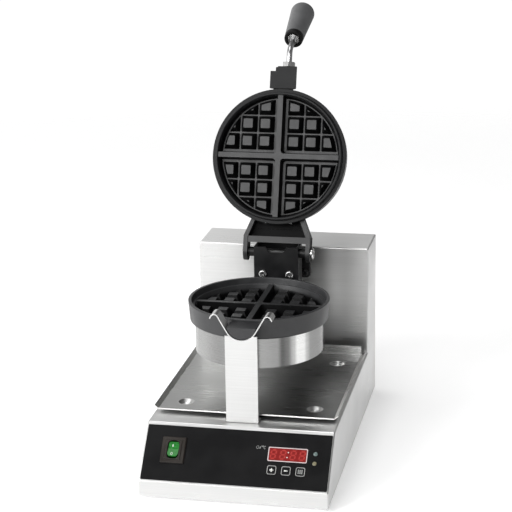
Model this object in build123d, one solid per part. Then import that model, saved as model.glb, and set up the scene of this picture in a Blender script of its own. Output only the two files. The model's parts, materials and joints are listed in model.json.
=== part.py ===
"""Counter-top rotating baker for thick round waffles.

Frame: millimetres, +X to the operator's right, +Y to the back, +Z up. The origin is the centre of the
base's footprint, on the surface that the rubber feet stand on. The lid is modelled closed and then
swung open about the hinge.
"""
import os
from math import atan2, cos, degrees, hypot, radians, sin, tan

from build123d import *

# ---------------------------------------------------------------- driving dimensions
BASE_W = 250.0          # housing width
BASE_D = 444.0          # housing depth
FOOT_H = 5.0            # height of the feet under the housing
SKIRT_H = 21.0          # upright strip at the foot of the front
SLOPE_RUN = 57.0        # depth of the sloping control front
DECK_H = 82.0           # deck above the housing's lower edge
TOWER_D = 79.0          # depth of the rear tower
TOWER_H = 240.5         # tower above the housing's lower edge
SHEET = 1.2             # stainless sheet thickness
FOLD_R = 2.0            # outer radius of folds and ground welds

AXIS_Z = 222.0          # swivel axis, which is also the parting plane of the plates
PLATE_Y = -34.0         # plate centre
PLATE_R = 96.0          # outer radius of both castings
CAST_H = 28.0           # height of each casting's outer wall
CELL = 24.9             # waffle cell pitch
CELL_START = 8.3        # first cell edge from the middle of a divider bar
CELL_FIELD_R = 82.5     # round edge of the cell field
STUD_TOP = 13.6         # side of a stud's flat top
STUD_H = 12.0           # stud height above the valleys
BAR_W = 7.2             # width of the divider bars at their tops
MOULD_D = 15.0          # valleys below the bar tops
RECESS_D = 8.0          # the lower plate's bars lie this far under its rim
PLUG_H = 7.7            # the upper plate's ring stands this far proud

BAND_R = 87.0           # stainless skirt band of each plate housing
BAND_H = 42.0

HINGE_Y = 101.0         # lid hinge axis, along X
HINGE_Z = 247.0
OPEN_ANGLE = 108.0      # lid travel from closed to its open stop
PIN_R = 5.0             # hinge bolt shank
EAR_X = 48.0            # outer face of the hinge arm's ears
EAR_T = 6.0

JOURNAL_R = 20.0        # front journal, made of two half rounds
SADDLE_R = 20.6         # inside of the cradle
SADDLE_T = 1.5
STRIP_W = 43.0
STRIP_T = 2.0
STRIP_Y = -153.5        # front face of the cradle strip
SADDLE_D = 20.5         # saddle depth, front to back

SHAFT_R = 15.0          # rear hollow swivel shaft
SHAFT_BORE_R = 9.0
RUN_GAP = 0.05          # radial running clearance of a shaft in its bush
BUSH_R = 18.0           # outside of the bronze bush
FLANGE_SIZE = (82.0, 44.0)

BRACKET_Y = 88.5        # front face of the hinge bracket
BRACKET_X = 32.0        # half its width
BRACKET_T = 3.0
BRACKET_TOP = 257.5
BRACKET_BACK = 119.5
BRACKET_SCREW = (19.3, 218.3)
BLOCK_Z = (198.0, 238.0)        # shaft block inside the bracket
TONGUE_Z = (189.6, 197.9)       # the lower casting's rear tongue, under the shaft block
LUG_SCREW_X = (-14.0, 14.0)
LUG_SCREW_Y = 105.0
WEB_GAP = 16.8          # the arm's web and crossbar keep this far from the hinge axis
CROSSBAR = (13.0, 22.0)         # crossbar, measured forward from the hinge axis
CROSSBAR_LOW = 11.0     # its lower edge under the hinge axis, with the lid closed
ARM_PLATE_X = 36.0      # half width of the arm where it meets the upper plate
ARM_SCREW_X = 18.0
ARM_SCREW_Y = 57.8

HANDLE_X = 6.0          # handle rod beside the middle of the upper journal
HANDLE_Z = AXIS_Z + 13.0
HANDLE_REACH = 33.0     # journal length in front of the casting
ROD_R = 4.0
ROD_BEND = 53.0         # the rod turns up by this angle from straight forward
ROD_RUN = 18.0          # straight part between nut and bend
ROD_RISE = 31.0         # straight part between bend and grip
GRIP_L = 89.0
GRIP_R = (13.4, 18.0)   # grip at its lower and upper end
PROBE_R = 3.0           # temperature sensor
PROBE_NECK_R = 1.8

# ---------------------------------------------------------------- derived places
X_HALF = BASE_W / 2
FRONT_Y = -BASE_D / 2
BACK_Y = BASE_D / 2
TOWER_Y = BACK_Y - TOWER_D
SKIRT_Z = FOOT_H + SKIRT_H
DECK_Z = FOOT_H + DECK_H
TOWER_Z = FOOT_H + TOWER_H
SLOPE_RISE = DECK_H - SKIRT_H
SLOPE_L = hypot(SLOPE_RUN, SLOPE_RISE)

# The slope's plane: x across, y up the slope from its lower fold, z outward.
SLOPE = Plane(
    origin=(0, FRONT_Y, SKIRT_Z),
    x_dir=(1, 0, 0),
    z_dir=(0, -SLOPE_RISE / SLOPE_L, SLOPE_RUN / SLOPE_L),
)
PANEL_T = 1.0

SWITCH_AT = (-84.0, 44.5)       # on the slope
SWITCH_SIZE = (32.0, 36.0)
SWITCH_HOLE = (22.0, 27.0)
ROCKER_HOLE = (15.6, 25.0)
ROCKER_SIZE = (14.2, 22.4)
DISPLAY_AT = (67.0, 48.2)
DISPLAY_SIZE = (51.5, 19.3)
KEY_X = (48.3, 67.1, 85.9)
KEY_S = 26.5
KEY_SIZE = 12.6
LAMP_AT = ((102.9, 52.1), (102.9, 39.1))
ROCKER_TILT = 7.0
ROCKER_PIVOT_N = -6.0           # rocker pivot, behind the panel

PARTS = {}


# ---------------------------------------------------------------- helpers
def block(x, y, z):
    """Box between two X, two Y and two Z values."""
    size = [abs(b - a) for a, b in (x, y, z)]
    middle = [(a + b) / 2 for a, b in (x, y, z)]
    return Pos(*middle) * Box(*size)


def round_x(radius, x, y, z):
    """Cylinder along X between two X values."""
    return Pos((x[0] + x[1]) / 2, y, z) * Rot(0, 90, 0) * Cylinder(radius, abs(x[1] - x[0]))


def round_y(radius, y, x, z):
    """Cylinder along Y between two Y values."""
    return Pos(x, (y[0] + y[1]) / 2, z) * Rot(90, 0, 0) * Cylinder(radius, abs(y[1] - y[0]))


def round_z(radius, z, x, y):
    """Cylinder along Z between two Z values."""
    return Pos(x, y, (z[0] + z[1]) / 2) * Cylinder(radius, abs(z[1] - z[0]))


def soft_block(x, y, z, radius):
    """Box with every edge rounded."""
    solid = block(x, y, z)
    return fillet(solid.edges(), radius)


def turned(points, radii):
    """Solid of revolution about Z from an (r, z) outline with a fillet radius at each corner."""
    outline = FilletPolyline(*[(r, 0, z) for r, z in points], radius=radii, close=True)
    return revolve(make_face(outline), Axis.Z)


def on_slope(shape):
    """Places a shape drawn in slope coordinates (across, up the slope, outward)."""
    return SLOPE.location * shape


def slope_pad(at, size, n, radius):
    """Rounded rectangular pad on the slope between two outward distances."""
    pad = extrude(Pos(at[0], at[1], n[0]) * RectangleRounded(*size, radius), n[1] - n[0])
    return pad


def screw(head_r, head_h, shank_r, length, socket=0.0):
    """Button-head screw standing on z=0: head above, shank below, optional hexagon socket."""
    head = Pos(0, 0, head_h / 2) * Cylinder(head_r, head_h)
    head = fillet(head.edges().group_by(Axis.Z)[-1], head_h * 0.6)
    solid = head + Pos(0, 0, -length / 2) * Cylinder(shank_r, length)
    if socket:
        solid -= Pos(0, 0, head_h * 0.35) * extrude(RegularPolygon(socket / 2, 6, major_radius=False), head_h)
    return solid


def aimed(shape, at, direction):
    """Moves a shape drawn along +Z so that its axis points along a direction."""
    return Plane(origin=at, z_dir=direction).location * shape


def join(shapes):
    """Fuses a list of solids in order."""
    shapes = list(shapes)
    result = shapes[0]
    for shape in shapes[1:]:
        result += shape
    return result


def opened(shape):
    """Swings a shape from the closed lid's place to the open lid's place."""
    return Pos(0, HINGE_Y, HINGE_Z) * Rot(-OPEN_ANGLE, 0, 0) * Pos(0, -HINGE_Y, -HINGE_Z) * shape


# ---------------------------------------------------------------- base housing
def side_profile(extra=0.0):
    """L-shaped side view of the housing in the YZ plane. Extra length opens it downward and backward."""
    points = [
        (FRONT_Y, FOOT_H - extra),
        (FRONT_Y, SKIRT_Z),
        (FRONT_Y + SLOPE_RUN, DECK_Z),
        (TOWER_Y, DECK_Z),
        (TOWER_Y, TOWER_Z),
        (BACK_Y + extra, TOWER_Z),
        (BACK_Y + extra, FOOT_H - extra),
    ]
    return make_face(Plane.YZ * Polyline(*points, close=True))


def housing_shell():
    outer = extrude(side_profile(), X_HALF, both=True)
    edges = [
        e for e in outer.edges()
        if e.center().Z > FOOT_H + 1 and not (e.center().Y > BACK_Y - 1 and abs(e.center().X) < 1)
        and e.center().Y < BACK_Y - 0.5
    ]
    inside_corner = [e for e in edges if abs(e.center().Y - TOWER_Y) < 1 and abs(e.center().Z - DECK_Z) < 1]
    edges = [e for e in edges if e not in inside_corner]
    outer = fillet(edges, FOLD_R)
    cavity = extrude(offset(side_profile(extra=20.0), -SHEET), X_HALF - SHEET, both=True)
    shell = outer - cavity
    inner_x = X_HALF - SHEET
    flange = block((-inner_x, inner_x), (FRONT_Y + SHEET, BACK_Y - 2.6), (FOOT_H, FOOT_H + SHEET))
    flange -= block((-inner_x + 12, inner_x - 12), (FRONT_Y + 12, BACK_Y - 12), (FOOT_H - 1, FOOT_H + 3))
    back = block((-inner_x, inner_x), (BACK_Y - 2.6, BACK_Y - 1.4), (FOOT_H, TOWER_Z - SHEET))
    back -= block((-inner_x + 10, inner_x - 10), (BACK_Y - 5, BACK_Y), (FOOT_H + 10, TOWER_Z - 12))
    shell = shell + flange + back
    shell -= round_y(BUSH_R + 0.4, (TOWER_Y - 2, TOWER_Y + 5), 0, AXIS_Z)
    switch_cut = slope_pad(SWITCH_AT, (SWITCH_HOLE[0] + 0.6, SWITCH_HOLE[1] + 0.6), (-4, 4), 1.0)
    board_cut = slope_pad((72, 38.5), (76, 44), (-4, 4), 2.0)
    shell -= on_slope(switch_cut)
    shell -= on_slope(board_cut)
    for at in feet_places():
        shell -= round_z(2.2, (FOOT_H - 1, FOOT_H + 2), *at)
    for x, y, direction in cover_screw_places():
        shell -= aimed(Cylinder(2.2, 8), (x, y[0], y[1]), direction)
    for x, z in flange_screw_places():
        shell -= round_y(3.3, (TOWER_Y - 2, TOWER_Y + 5), x, z)
    for x in strip_screw_x():
        shell -= round_z(2.7, (DECK_Z - 4, DECK_Z + 1), x, STRIP_Y + 11)
    return shell


def feet_places():
    inset = 38.0
    return [(sx * (X_HALF - inset), sy * (BACK_Y - inset)) for sx in (-1, 1) for sy in (-1, 1)]


def cover_screw_places():
    """(x, (y, z), outward direction) of the screws that hold the bottom plate and the rear cover."""
    places = []
    for x in (-X_HALF + 7, X_HALF - 7):
        for y in (FRONT_Y + 60, BACK_Y - 60):
            places.append((x, (y, FOOT_H), (0, 0, -1)))
        for z in (FOOT_H + 24, TOWER_Z - 30):
            places.append((x, (BACK_Y, z), (0, 1, 0)))
    return places


def flange_screw_places():
    return [(sx * 33.0, AXIS_Z + sz * 14.0) for sx in (-1, 1) for sz in (-1, 1)]


def strip_screw_x():
    return (-12.0, 12.0)


def foot(at):
    x, y = at
    body = round_z(11, (0, FOOT_H), x, y)
    body = fillet(body.edges().group_by(Axis.Z)[0], 1.5)
    plug = round_z(2.0, (FOOT_H, FOOT_H + 4), x, y) + round_z(3.4, (FOOT_H + 2.4, FOOT_H + 5), x, y)
    return body + plug


def bottom_plate():
    inner_x = X_HALF - SHEET - 0.4
    z = (FOOT_H + SHEET, FOOT_H + SHEET + 1.0)
    plate = block((-inner_x, inner_x), (FRONT_Y + SHEET + 0.4, BACK_Y - 3.2), z)
    slot = Rot(0, 0, 90) * SlotOverall(60, 4)
    for row in (-60, 60):
        for i in range(9):
            plate -= Pos(-48 + 12 * i, row, z[0] - 1) * extrude(slot, 4)
    for at in feet_places():
        plate -= round_z(3.7, (z[0] - 1, z[1] + 1), *at)
    for x, y, direction in cover_screw_places():
        if direction[2]:
            plate -= round_z(2.2, (z[0] - 1, z[1] + 1), x, y[0])
    return plate


def rear_cover():
    inner_x = X_HALF - SHEET - 0.3
    z = (FOOT_H + 0.2, TOWER_Z - SHEET - 0.3)
    plate = block((-inner_x, inner_x), (BACK_Y - 1.4, BACK_Y - 0.2), z)
    slot = SlotOverall(40, 4)
    for side in (-1, 1):
        for i in range(8):
            cut = extrude(slot, 6, both=True)
            plate -= Pos(side * 45, BACK_Y, 150 + 9 * i) * Rot(90, 0, 0) * cut
    plate -= round_y(8.2, (BACK_Y - 4, BACK_Y + 1), 80, 42)
    for x, y, direction in cover_screw_places():
        if direction[1]:
            plate -= round_y(2.2, (BACK_Y - 4, BACK_Y + 1), x, y[1])
    return plate


def cover_screws():
    solids = []
    for x, y, direction in cover_screw_places():
        sink = 0.0 if direction[2] else -0.2
        at = (x, y[0] + direction[1] * sink, y[1] + direction[2] * sink)
        solids.append(aimed(screw(4.0, 2.2, 2.0, 7.0), at, direction))
    return Compound(children=solids)


# ---------------------------------------------------------------- control front
def front_panel():
    panel = slope_pad((0, 40.5), (BASE_W - 4.6, 76), (0, PANEL_T), 1.5)
    panel -= slope_pad(SWITCH_AT, (SWITCH_HOLE[0] + 0.4, SWITCH_HOLE[1] + 0.4), (-1, 3), 1.0)
    panel -= slope_pad(DISPLAY_AT, (DISPLAY_SIZE[0] - 2, DISPLAY_SIZE[1] - 2), (-1, 3), 1.2)
    for x in KEY_X:
        panel -= slope_pad((x, KEY_S), (KEY_SIZE + 0.7, KEY_SIZE + 0.7), (-1, 3), 2.4)
    for at in LAMP_AT:
        panel -= Pos(at[0], at[1], 0) * Cylinder(3.1, 6)
    return on_slope(panel)


def switch_frame():
    """Bezel round the rocker."""
    bezel = slope_pad(SWITCH_AT, SWITCH_SIZE, (PANEL_T, PANEL_T + 2.6), 2.0)
    bezel = chamfer(bezel.edges().group_by(Axis.Z)[-1], 1.2)
    bezel -= slope_pad(SWITCH_AT, SWITCH_HOLE, (-2, 6), 1.0)
    return on_slope(bezel)


def switch_gasket():
    """Inner splash ring between bezel and rocker."""
    outer = (SWITCH_HOLE[0] - 0.2, SWITCH_HOLE[1] - 0.2)
    ring = slope_pad(SWITCH_AT, outer, (0.2, PANEL_T + 3.2), 1.0)
    ring = fillet(ring.edges().group_by(Axis.Z)[-1], 0.9)
    ring -= slope_pad(SWITCH_AT, ROCKER_HOLE, (-2, 6), 5.8)
    return on_slope(ring)


def switch_body():
    """Switch case behind the panel, with a pocket for the rocker and two blade terminals."""
    case = slope_pad(SWITCH_AT, (SWITCH_HOLE[0] - 0.2, SWITCH_HOLE[1] - 0.2), (-24, 0), 1.0)
    case -= slope_pad(SWITCH_AT, ROCKER_HOLE, (-13, 1), 5.8)
    for s in (-8, 8):
        case += slope_pad((SWITCH_AT[0], SWITCH_AT[1] + s), (6.3, 0.8), (-33, -24), 0.3)
    return on_slope(case)


def rocker():
    """Two-faced rocker on its pivot, drawn level and then tipped to its off side."""
    half = ROCKER_SIZE[1] / 2 - 0.4
    rise = half * tan(radians(ROCKER_TILT))
    top = PANEL_T + 1.4
    profile = Plane.YZ * FilletPolyline(
        (-half, top + rise), (0, top), (half, top + rise), (half - 2.2, -9), (-half + 2.2, -9),
        radius=[1.2, 4.0, 1.2, 1.5, 1.5], close=True,
    )
    body = extrude(make_face(profile), ROCKER_SIZE[0] / 2, both=True)
    body &= slope_pad((0, 0), ROCKER_SIZE, (-20, 20), 5.2)
    body = Pos(0, 0, ROCKER_PIVOT_N) * Rot(-ROCKER_TILT, 0, 0) * Pos(0, 0, -ROCKER_PIVOT_N) * body
    return on_slope(Pos(SWITCH_AT[0], SWITCH_AT[1], 0) * body)


def display_window():
    size = (DISPLAY_SIZE[0] - 2.4, DISPLAY_SIZE[1] - 2.4)
    return on_slope(slope_pad(DISPLAY_AT, size, (0.0, PANEL_T + 0.1), 1.0))


def display_frame():
    frame = slope_pad(DISPLAY_AT, DISPLAY_SIZE, (PANEL_T, PANEL_T + 0.4), 1.6)
    frame -= slope_pad(DISPLAY_AT, (DISPLAY_SIZE[0] - 2.2, DISPLAY_SIZE[1] - 2.2), (0, 3), 1.2)
    return on_slope(frame)


def display_module():
    return on_slope(slope_pad(DISPLAY_AT, (50.3, 19.0), (-12.4, -0.4), 0.5))


def lamp(at):
    lens = Pos(at[0], at[1], -5.5) * Cylinder(2.9, 13.8)
    lens = fillet(lens.edges().group_by(Axis.Z)[-1], 1.2)
    return on_slope(lens)


def key(x):
    cap = slope_pad((x, KEY_S), (KEY_SIZE, KEY_SIZE), (0.1, PANEL_T + 0.4), 2.1)
    cap = fillet(cap.edges().group_by(Axis.Z)[-1], 0.3)
    return on_slope(cap)


def control_board():
    board = slope_pad((72, 38.5), (84, 56), (-14.0, -12.4), 1.0)
    for x in KEY_X:
        board += slope_pad((x, KEY_S), (6.2, 6.2), (-12.4, -3.0), 0.4)
        board += Pos(x, KEY_S, -2.2) * Cylinder(1.7, 1.8)
    for at in ((20, -6), (34, 8), (-22, -8)):
        board += slope_pad((72 + at[0], 38.5 + at[1]), (13, 18), (-20.0, -14.0), 0.4)
    for corner in board_corners():
        board -= Pos(*corner, -13) * Cylinder(1.7, 6)
    return on_slope(board)


def board_corners():
    return [(72 + sx * 39.5, 38.5 + sy * 25.5) for sx in (-1, 1) for sy in (-1, 1)]


def board_spacers():
    posts = [on_slope(Pos(*corner, -6.8) * Cylinder(2.6, 11.2)) for corner in board_corners()]
    return Compound(children=posts)


# ---------------------------------------------------------------- electrics
def transformer():
    z0 = FOOT_H + SHEET + 1.0
    core = block((-30, 30), (20, 66), (z0, z0 + 50)) - block((-18, 18), (15, 70), (z0 + 12, z0 + 38))
    coil = soft_block((-18, 18), (13, 73), (z0 + 12, z0 + 38), 3)
    feet = block((-42, 42), (24, 62), (z0, z0 + 2))
    return core + coil + feet


def heat_relays():
    z0 = FOOT_H + SHEET + 1.0
    solids = []
    for x in (-80, 80):
        plate = block((x - 30, x + 30), (10, 76), (z0, z0 + 4))
        puck = soft_block((x - 23, x + 23), (14, 72), (z0 + 4, z0 + 28), 1.5)
        solids.append(plate + puck)
    return Compound(children=solids)


def terminal_block():
    z0 = FOOT_H + SHEET + 1.0
    strip = block((52, 112), (158, 180), (z0, z0 + 16))
    for i in range(5):
        x = 58 + 12 * i
        for y in (163, 175):
            strip += round_z(4.2, (z0 + 14, z0 + 20), x, y)
            strip -= round_z(2.6, (z0 + 12, z0 + 21), x, y)
    return strip


def safety_cutout():
    z0 = FOOT_H + SHEET + 1.0
    body = soft_block((-100, -62), (118, 150), (z0, z0 + 34), 2)
    return body + round_z(5, (z0 + 30, z0 + 40), -81, 134)


def cable_gland():
    """Inlet gland in the rear cover, with its lock nut inside."""
    x, z = 80, 42
    across_flats = 19.0
    hexagon = RegularPolygon(across_flats / 2, 6, major_radius=False)
    body = Pos(x, BACK_Y - 0.2, z) * Rot(-90, 0, 0) * extrude(hexagon, 5)
    dome = round_y(9.0, (BACK_Y + 4, BACK_Y + 16), x, z)
    dome = fillet(dome.edges().group_by(Axis.Y)[-1], 3.0)
    body = body + dome + round_y(8.0, (BACK_Y - 14, BACK_Y), x, z)
    nut = Pos(x, BACK_Y - 6.4, z) * Rot(-90, 0, 0) * extrude(hexagon, 5)
    body = body + nut
    body -= round_y(4.2, (BACK_Y - 20, BACK_Y + 20), x, z)
    return body


# ---------------------------------------------------------------- swivel bearing
def bearing_flange():
    plate = Pos(0, TOWER_Y, AXIS_Z) * Rot(90, 0, 0) * extrude(RectangleRounded(*FLANGE_SIZE, 6), 6)
    plate = fillet(plate.edges().group_by(Axis.Y)[0], 1.2)
    boss = round_y(BUSH_R + 4, (121, TOWER_Y), 0, AXIS_Z)
    boss = fillet(boss.edges().group_by(Axis.Y)[0], 1.5)
    flange = plate + boss - round_y(BUSH_R, (115, 150), 0, AXIS_Z)
    for x, z in flange_screw_places():
        flange -= round_y(3.3, (130, 150), x, z)
    return flange


def bearing_bush():
    return round_y(BUSH_R, (121.5, 149), 0, AXIS_Z) - round_y(SHAFT_R + RUN_GAP, (115, 152), 0, AXIS_Z)


def flange_screws():
    solids = [
        aimed(screw(5.3, 3.2, 3.0, 16.0, socket=4.0), (x, TOWER_Y - 6, z), (0, -1, 0))
        for x, z in flange_screw_places()
    ]
    return Compound(children=solids)


# ---------------------------------------------------------------- front cradle
def saddle_line():
    """Middle line of the saddle sheet in the XZ plane, from the left ear to the right ear."""
    r = SADDLE_R + SADDLE_T / 2
    wrap = radians(60)
    curl_r = 5.0
    tip_run = 3.5
    flank = 24.5
    curl_turn = radians(122)
    start = Vector(r * sin(wrap), AXIS_Z - r * cos(wrap))
    heading = Vector(cos(wrap), sin(wrap))
    top = start + heading * flank
    centre = top + Vector(sin(wrap), -cos(wrap)) * curl_r
    mid_angle = radians(90) + wrap - curl_turn / 2
    end_angle = radians(90) + wrap - curl_turn
    mid = centre + Vector(cos(mid_angle), sin(mid_angle)) * curl_r
    end = centre + Vector(cos(end_angle), sin(end_angle)) * curl_r
    tip = end + Vector(sin(end_angle), -cos(end_angle)) * tip_run
    right = [
        Line(start, top),
        ThreePointArc(top, mid, end),
        Line(end, tip),
    ]
    bowl = ThreePointArc((-start.X, start.Y), (0, AXIS_Z - r), start)
    left = [edge.mirror(Plane.YZ) for edge in right]
    return [bowl] + right + left


def saddle():
    sheet = trace(Wire(saddle_line()), line_width=SADDLE_T)
    solid = extrude(sheet, SADDLE_D)
    return Pos(0, STRIP_Y, 0) * Rot(90, 0, 0) * Pos(0, 0, -SADDLE_D) * solid


def support_strip():
    top = 207.0
    strip = block((-STRIP_W / 2, STRIP_W / 2), (STRIP_Y, STRIP_Y + STRIP_T), (DECK_Z, top))
    strip += block((-STRIP_W / 2, STRIP_W / 2), (STRIP_Y, STRIP_Y + 18), (DECK_Z, DECK_Z + STRIP_T))
    bend = [
        e for e in strip.edges()
        if abs(e.center().Y - STRIP_Y) < 0.1 and abs(e.center().Z - DECK_Z) < 0.1
    ]
    strip = fillet(bend, STRIP_T * 0.9)
    strip -= round_y(SADDLE_R + SADDLE_T, (STRIP_Y - 5, STRIP_Y + 30), 0, AXIS_Z)
    for x in strip_screw_x():
        strip -= round_z(2.7, (DECK_Z - 1, DECK_Z + 4), x, STRIP_Y + 11)
    return strip


def strip_screws():
    solids = [
        aimed(screw(4.6, 2.4, 2.5, 9.0, socket=3.0), (x, STRIP_Y + 11, DECK_Z + STRIP_T), (0, 0, 1))
        for x in strip_screw_x()
    ]
    return Compound(children=solids)


# ---------------------------------------------------------------- drip tray
def drip_tray():
    t = 1.0
    floor_z = DECK_Z + 4.6
    y0, y1 = -134.0, 118.0
    half = 118.5
    lip_x, lip_z = 124.2, floor_z + 5.0
    back_h = 14.0
    section = FilletPolyline(
        (-lip_x, lip_z), (-half, floor_z), (half, floor_z), (lip_x, lip_z),
        (lip_x, lip_z + t), (half - 0.4, floor_z + t), (-half + 0.4, floor_z + t), (-lip_x, lip_z + t),
        radius=[0.3, 2.0, 2.0, 0.3, 0.3, 1.2, 1.2, 0.3], close=True,
    )
    tray = Rot(90, 0, 0) * extrude(make_face(section), -(y1 - y0))
    tray = Pos(0, y0, 0) * tray
    tray += block((-half, half), (y1 - t, y1), (floor_z, floor_z + back_h))
    tray += block((-half, half), (y0, y0 + t), (floor_z, floor_z + 1.8))
    for x, y in ((-88, -103), (88, -103), (-90, 76), (90, 76)):
        depth = floor_z - DECK_Z - 0.1
        cup = Pos(x, y, floor_z) * turned([(0, -depth), (7.0, -depth), (11.5, t), (0, t)], [0, 2.0, 0, 0])
        hollow = Pos(x, y, floor_z) * turned([(0, t - depth), (6.4, t - depth), (10.9, t + 0.5), (0, t + 0.5)],
                                             [0, 1.2, 0, 0])
        tray = tray + cup - hollow
    return tray


# ---------------------------------------------------------------- waffle plates
def stud_field(top):
    """One quarter's studs: sloping cells cut off by a cone, standing on the valley floor."""
    floor = top - MOULD_D
    valley = 2.0
    base = CELL - valley
    run = (base - STUD_TOP) / 2
    slope = degrees(atan2(run, STUD_H))
    edge_r = CELL_FIELD_R - valley / 2
    trim = Pos(0, 0, floor) * turned(
        [(0, 0), (edge_r, 0), (edge_r - run, STUD_H), (0, STUD_H)], [0, 0, 0, 0])
    stud = extrude(Rectangle(base, base), STUD_H, taper=slope)
    stud = fillet(stud.edges().filter_by(Plane.XY, reverse=True), 1.6)
    stud = fillet(stud.edges().group_by(Axis.Z)[-1], 0.7)
    studs = []
    for i in range(3):
        for j in range(3):
            if i + j > 3:
                continue
            x = CELL_START + CELL * (i + 0.5)
            y = CELL_START + CELL * (j + 0.5)
            cell = Pos(x, y, floor) * stud
            studs.append(cell & trim if i + j > 1 else cell)
    return studs


def divider_bars(top):
    """Cross of two drafted bars."""
    draft = 8.0
    spread = 2 * MOULD_D * tan(radians(draft))
    floor = top - MOULD_D
    bar = extrude(Rectangle(178, BAR_W + spread), MOULD_D, taper=draft)
    cross = bar + Rot(0, 0, 90) * bar
    corner_r = 4.5
    upright = [
        e for e in cross.edges()
        if e.geom_type == GeomType.LINE and abs(e.tangent_at(0.5).Z) > 0.8
        and hypot(e.center().X, e.center().Y) < 15
    ]
    cross = fillet(upright, corner_r)
    return Pos(0, 0, floor) * cross


def waffle_plate(top):
    """Casting with its face up. The parting plane is z=0 and the bar tops are at z=top."""
    floor = top - MOULD_D
    under = floor - 5.0
    proud = top > 0
    if proud:
        ring = [(91.3, 0), (89.95, top), (87.5, top)]
        ring_r = [0.6, 0.6, 0.8]
    else:
        ring = [(91.6, 0), (90.2, top), (87.5, top)]
        ring_r = [0.6, 0.5, 0.8]
    outline = [(0, under), (78, under), (78, -CAST_H), (PLATE_R - 2.2, -CAST_H), (PLATE_R, -0.01)]
    outline += ring + [(83.8, floor), (0, floor)]
    radii = [0, 3.0, 1.0, 3.0, 0.8] + ring_r + [1.5, 0]
    if under <= -CAST_H:
        outline[1:3] = [(78, -CAST_H - 0.01)]
        radii[1:3] = [0]
        outline[0] = (0, -CAST_H - 0.01)
    casting = turned(outline, radii)
    casting += divider_bars(top)
    for quarter in range(4):
        for stud in stud_field(top):
            casting += Rot(0, 0, 90 * quarter) * stud
    spigot_r = BAND_R - 1.1
    spigot = round_z(spigot_r, (-CAST_H - 5, -CAST_H + 1), 0, 0)
    spigot -= round_z(spigot_r - 3, (-CAST_H - 6, -CAST_H + 2), 0, 0)
    casting += spigot
    casting += round_z(8, (-CAST_H - 8, under + 1), 0, 0)
    casting -= round_z(2.6, (-CAST_H - 9, -CAST_H + 2), 0, 0)
    return casting


def lower_plate():
    plate = Pos(0, PLATE_Y, AXIS_Z) * waffle_plate(-RECESS_D)
    lug = round_y(JOURNAL_R, (STRIP_Y + 1.5, PLATE_Y - PLATE_R + 3.0), 0, AXIS_Z)
    lug -= block((-50, 50), (-200, 0), (AXIS_Z - 4.5, AXIS_Z + 50))
    plate += lug
    plate += block((-25, 25), (PLATE_Y + BAND_R + 1, 115), TONGUE_Z)
    for x in LUG_SCREW_X:
        plate -= round_z(4.2, (180, 205), x, LUG_SCREW_Y)
    return plate


def upper_plate():
    """Closed position: the casting is turned face down onto the lower one."""
    plate = Pos(0, PLATE_Y, AXIS_Z + 0.1) * Rot(0, 180, 0) * waffle_plate(PLUG_H)
    rim_y = PLATE_Y - PLATE_R
    end_y = rim_y - HANDLE_REACH
    face_z = AXIS_Z + 6
    upper_half = block((-40, 40), (-200, 0), (face_z, 260))
    journal = round_y(JOURNAL_R, (end_y, rim_y - 1.2), 0, AXIS_Z) & upper_half
    journal -= block((-30, -8.5), (end_y - 1, end_y + 7), (face_z - 1, face_z + 9))
    journal = fillet(journal.edges().group_by(Axis.Y)[0].filter_by(GeomType.CIRCLE), 1.2)
    neck = round_y(JOURNAL_R - 3, (rim_y - 6, rim_y + 3.5), 0, AXIS_Z + 1) & block(
        (-40, 40), (-200, 0), (face_z + 4, 260))
    plate = plate + neck + journal
    plate -= round_y(4.05, (end_y - 1, end_y + 26), HANDLE_X, HANDLE_Z)
    for x in (-ARM_SCREW_X, ARM_SCREW_X):
        plate -= round_z(2.6, (AXIS_Z + CAST_H - 12, AXIS_Z + CAST_H + 1), x, ARM_SCREW_Y)
    return plate



def band(z0, z1):
    """Stainless skirt between two heights."""
    outer = round_z(BAND_R, (z0, z1), 0, PLATE_Y)
    return outer - round_z(BAND_R - 1.0, (z0 - 1, z1 + 1), 0, PLATE_Y)


def pan():
    """Dished cover with a rim that fits inside the band; its outer face is z=0, the rim towards +z."""
    r = BAND_R - 1.1
    outline = [(0, 0), (r, 0), (r, 10), (r - 1, 10), (r - 1, 1.0), (0, 1.0)]
    dish = turned(outline, [0, 3.0, 0, 0, 2.0, 0])
    for angle in range(0, 360, 30):
        slot = Pos(0, 0, -1) * extrude(Pos(58, 0) * SlotOverall(26, 4), 4)
        dish -= Rot(0, 0, angle) * slot
    return dish - Cylinder(3.2, 8)


def heater():
    """Tubular ring element with its two cold ends; it lies against z=0, below."""
    tube_r = 4.0
    ring_r = 58.0
    gap = 16.0
    half_turn = 360 - 2 * degrees(gap / 2 / ring_r)
    profile = Pos(ring_r, 0, -tube_r) * Rot(90, 0, 0) * Circle(tube_r)
    ring = revolve(profile, Axis.Z, half_turn)
    start = degrees(gap / 2 / ring_r)
    ring = Rot(0, 0, start) * ring
    ends = []
    for angle in (start, start + half_turn):
        x = ring_r * cos(radians(angle))
        y = ring_r * sin(radians(angle))
        ends.append(Pos(x, y, -tube_r) * Sphere(tube_r) + round_z(tube_r * 0.98, (-24, -tube_r), x, y))
    return join([ring] + ends)


def insulation():
    """Pad of ceramic fibre, its upper face at z=0, cleared for the element and the middle boss."""
    pad = Pos(0, 0, -10) * Cylinder(80, 20) - Cylinder(9, 60)
    pad -= block((48, 68), (-12, 12), (-30, 5))
    return pad


def sensor():
    """Probe against the plate, drawn from x=20 to x=52 with its upper side at z=0."""
    probe = round_x(PROBE_R, (20, 46), 0, -PROBE_R)
    return probe + round_x(PROBE_NECK_R, (45, 52), 0, -PROBE_R)


def tie_screw():
    return Rot(180, 0, 0) * screw(5.5, 3.4, 2.5, 36.0, socket=4.0)


# ---------------------------------------------------------------- hinge and swivel parts

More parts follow.
